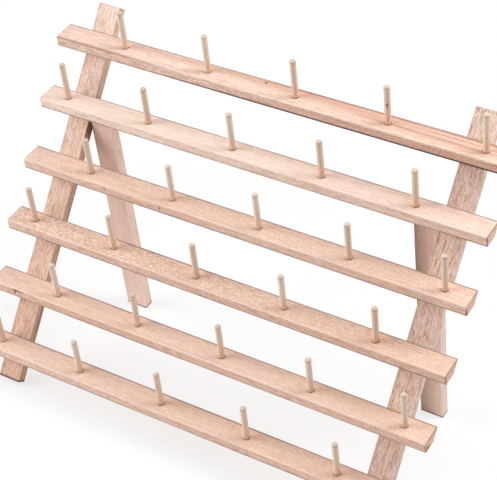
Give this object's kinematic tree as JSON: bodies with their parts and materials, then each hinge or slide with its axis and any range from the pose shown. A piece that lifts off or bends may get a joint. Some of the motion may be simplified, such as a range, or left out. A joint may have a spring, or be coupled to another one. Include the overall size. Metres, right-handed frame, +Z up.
{
  "type": "thread spool rack",
  "caption": "Folding wooden rack with slanted rails of upright pegs for thread spools, on two front legs and two hinged back legs.",
  "frame": {"origin": "on the floor under the middle of the rack's box, with the stand open", "axes": "+X along the rails to the right as seen from the front, +Y to the back, +Z up"},
  "size_m": [0.4, 0.1678, 0.2973],
  "materials": {
    "beech": "bare sanded beech",
    "peg_wood": "bare turned dowel",
    "screw_steel": "zinc plated"
  },
  "bodies": {
    "rack": {"front_leg_left": "beech", "front_leg_right": "beech", "rail_screws": "screw_steel", "rail_1": "beech", "rail_2": "beech", "rail_3": "beech", "rail_4": "beech", "rail_5": "beech", "rail_6": "beech", "peg_1_1": "peg_wood", "peg_1_2": "peg_wood", "peg_1_3": "peg_wood", "peg_1_4": "peg_wood", "peg_1_5": "peg_wood", "peg_2_1": "peg_wood", "peg_2_2": "peg_wood", "peg_2_3": "peg_wood", "peg_2_4": "peg_wood", "peg_2_5": "peg_wood", "peg_3_1": "peg_wood", "peg_3_2": "peg_wood", "peg_3_3": "peg_wood", "peg_3_4": "peg_wood", "peg_3_5": "peg_wood", "peg_4_1": "peg_wood", "peg_4_2": "peg_wood", "peg_4_3": "peg_wood", "peg_4_4": "peg_wood", "peg_4_5": "peg_wood", "peg_5_1": "peg_wood", "peg_5_2": "peg_wood", "peg_5_3": "peg_wood", "peg_5_4": "peg_wood", "peg_5_5": "peg_wood", "peg_6_1": "peg_wood", "peg_6_2": "peg_wood", "peg_6_3": "peg_wood", "peg_6_4": "peg_wood", "peg_6_5": "peg_wood"},
    "back_leg_left": {"back_leg_left": "beech", "pivot_screw_left": "screw_steel", "pivot_washer_left": "screw_steel"},
    "back_leg_right": {"back_leg_right": "beech", "pivot_screw_right": "screw_steel", "pivot_washer_right": "screw_steel"}
  },
  "joints": [
    {"name": "back_leg_left_fold", "type": "hinge", "parent": "rack", "child": "back_leg_left", "pos_m": [-0.168, 0.02998, 0.20309], "axis": [1, 0, 0], "range_deg": [-41.5, 0]},
    {"name": "back_leg_right_fold", "type": "hinge", "parent": "rack", "child": "back_leg_right", "pos_m": [0.168, 0.02998, 0.20309], "axis": [1, 0, 0], "range_deg": [-41.5, 0]}
  ]
}
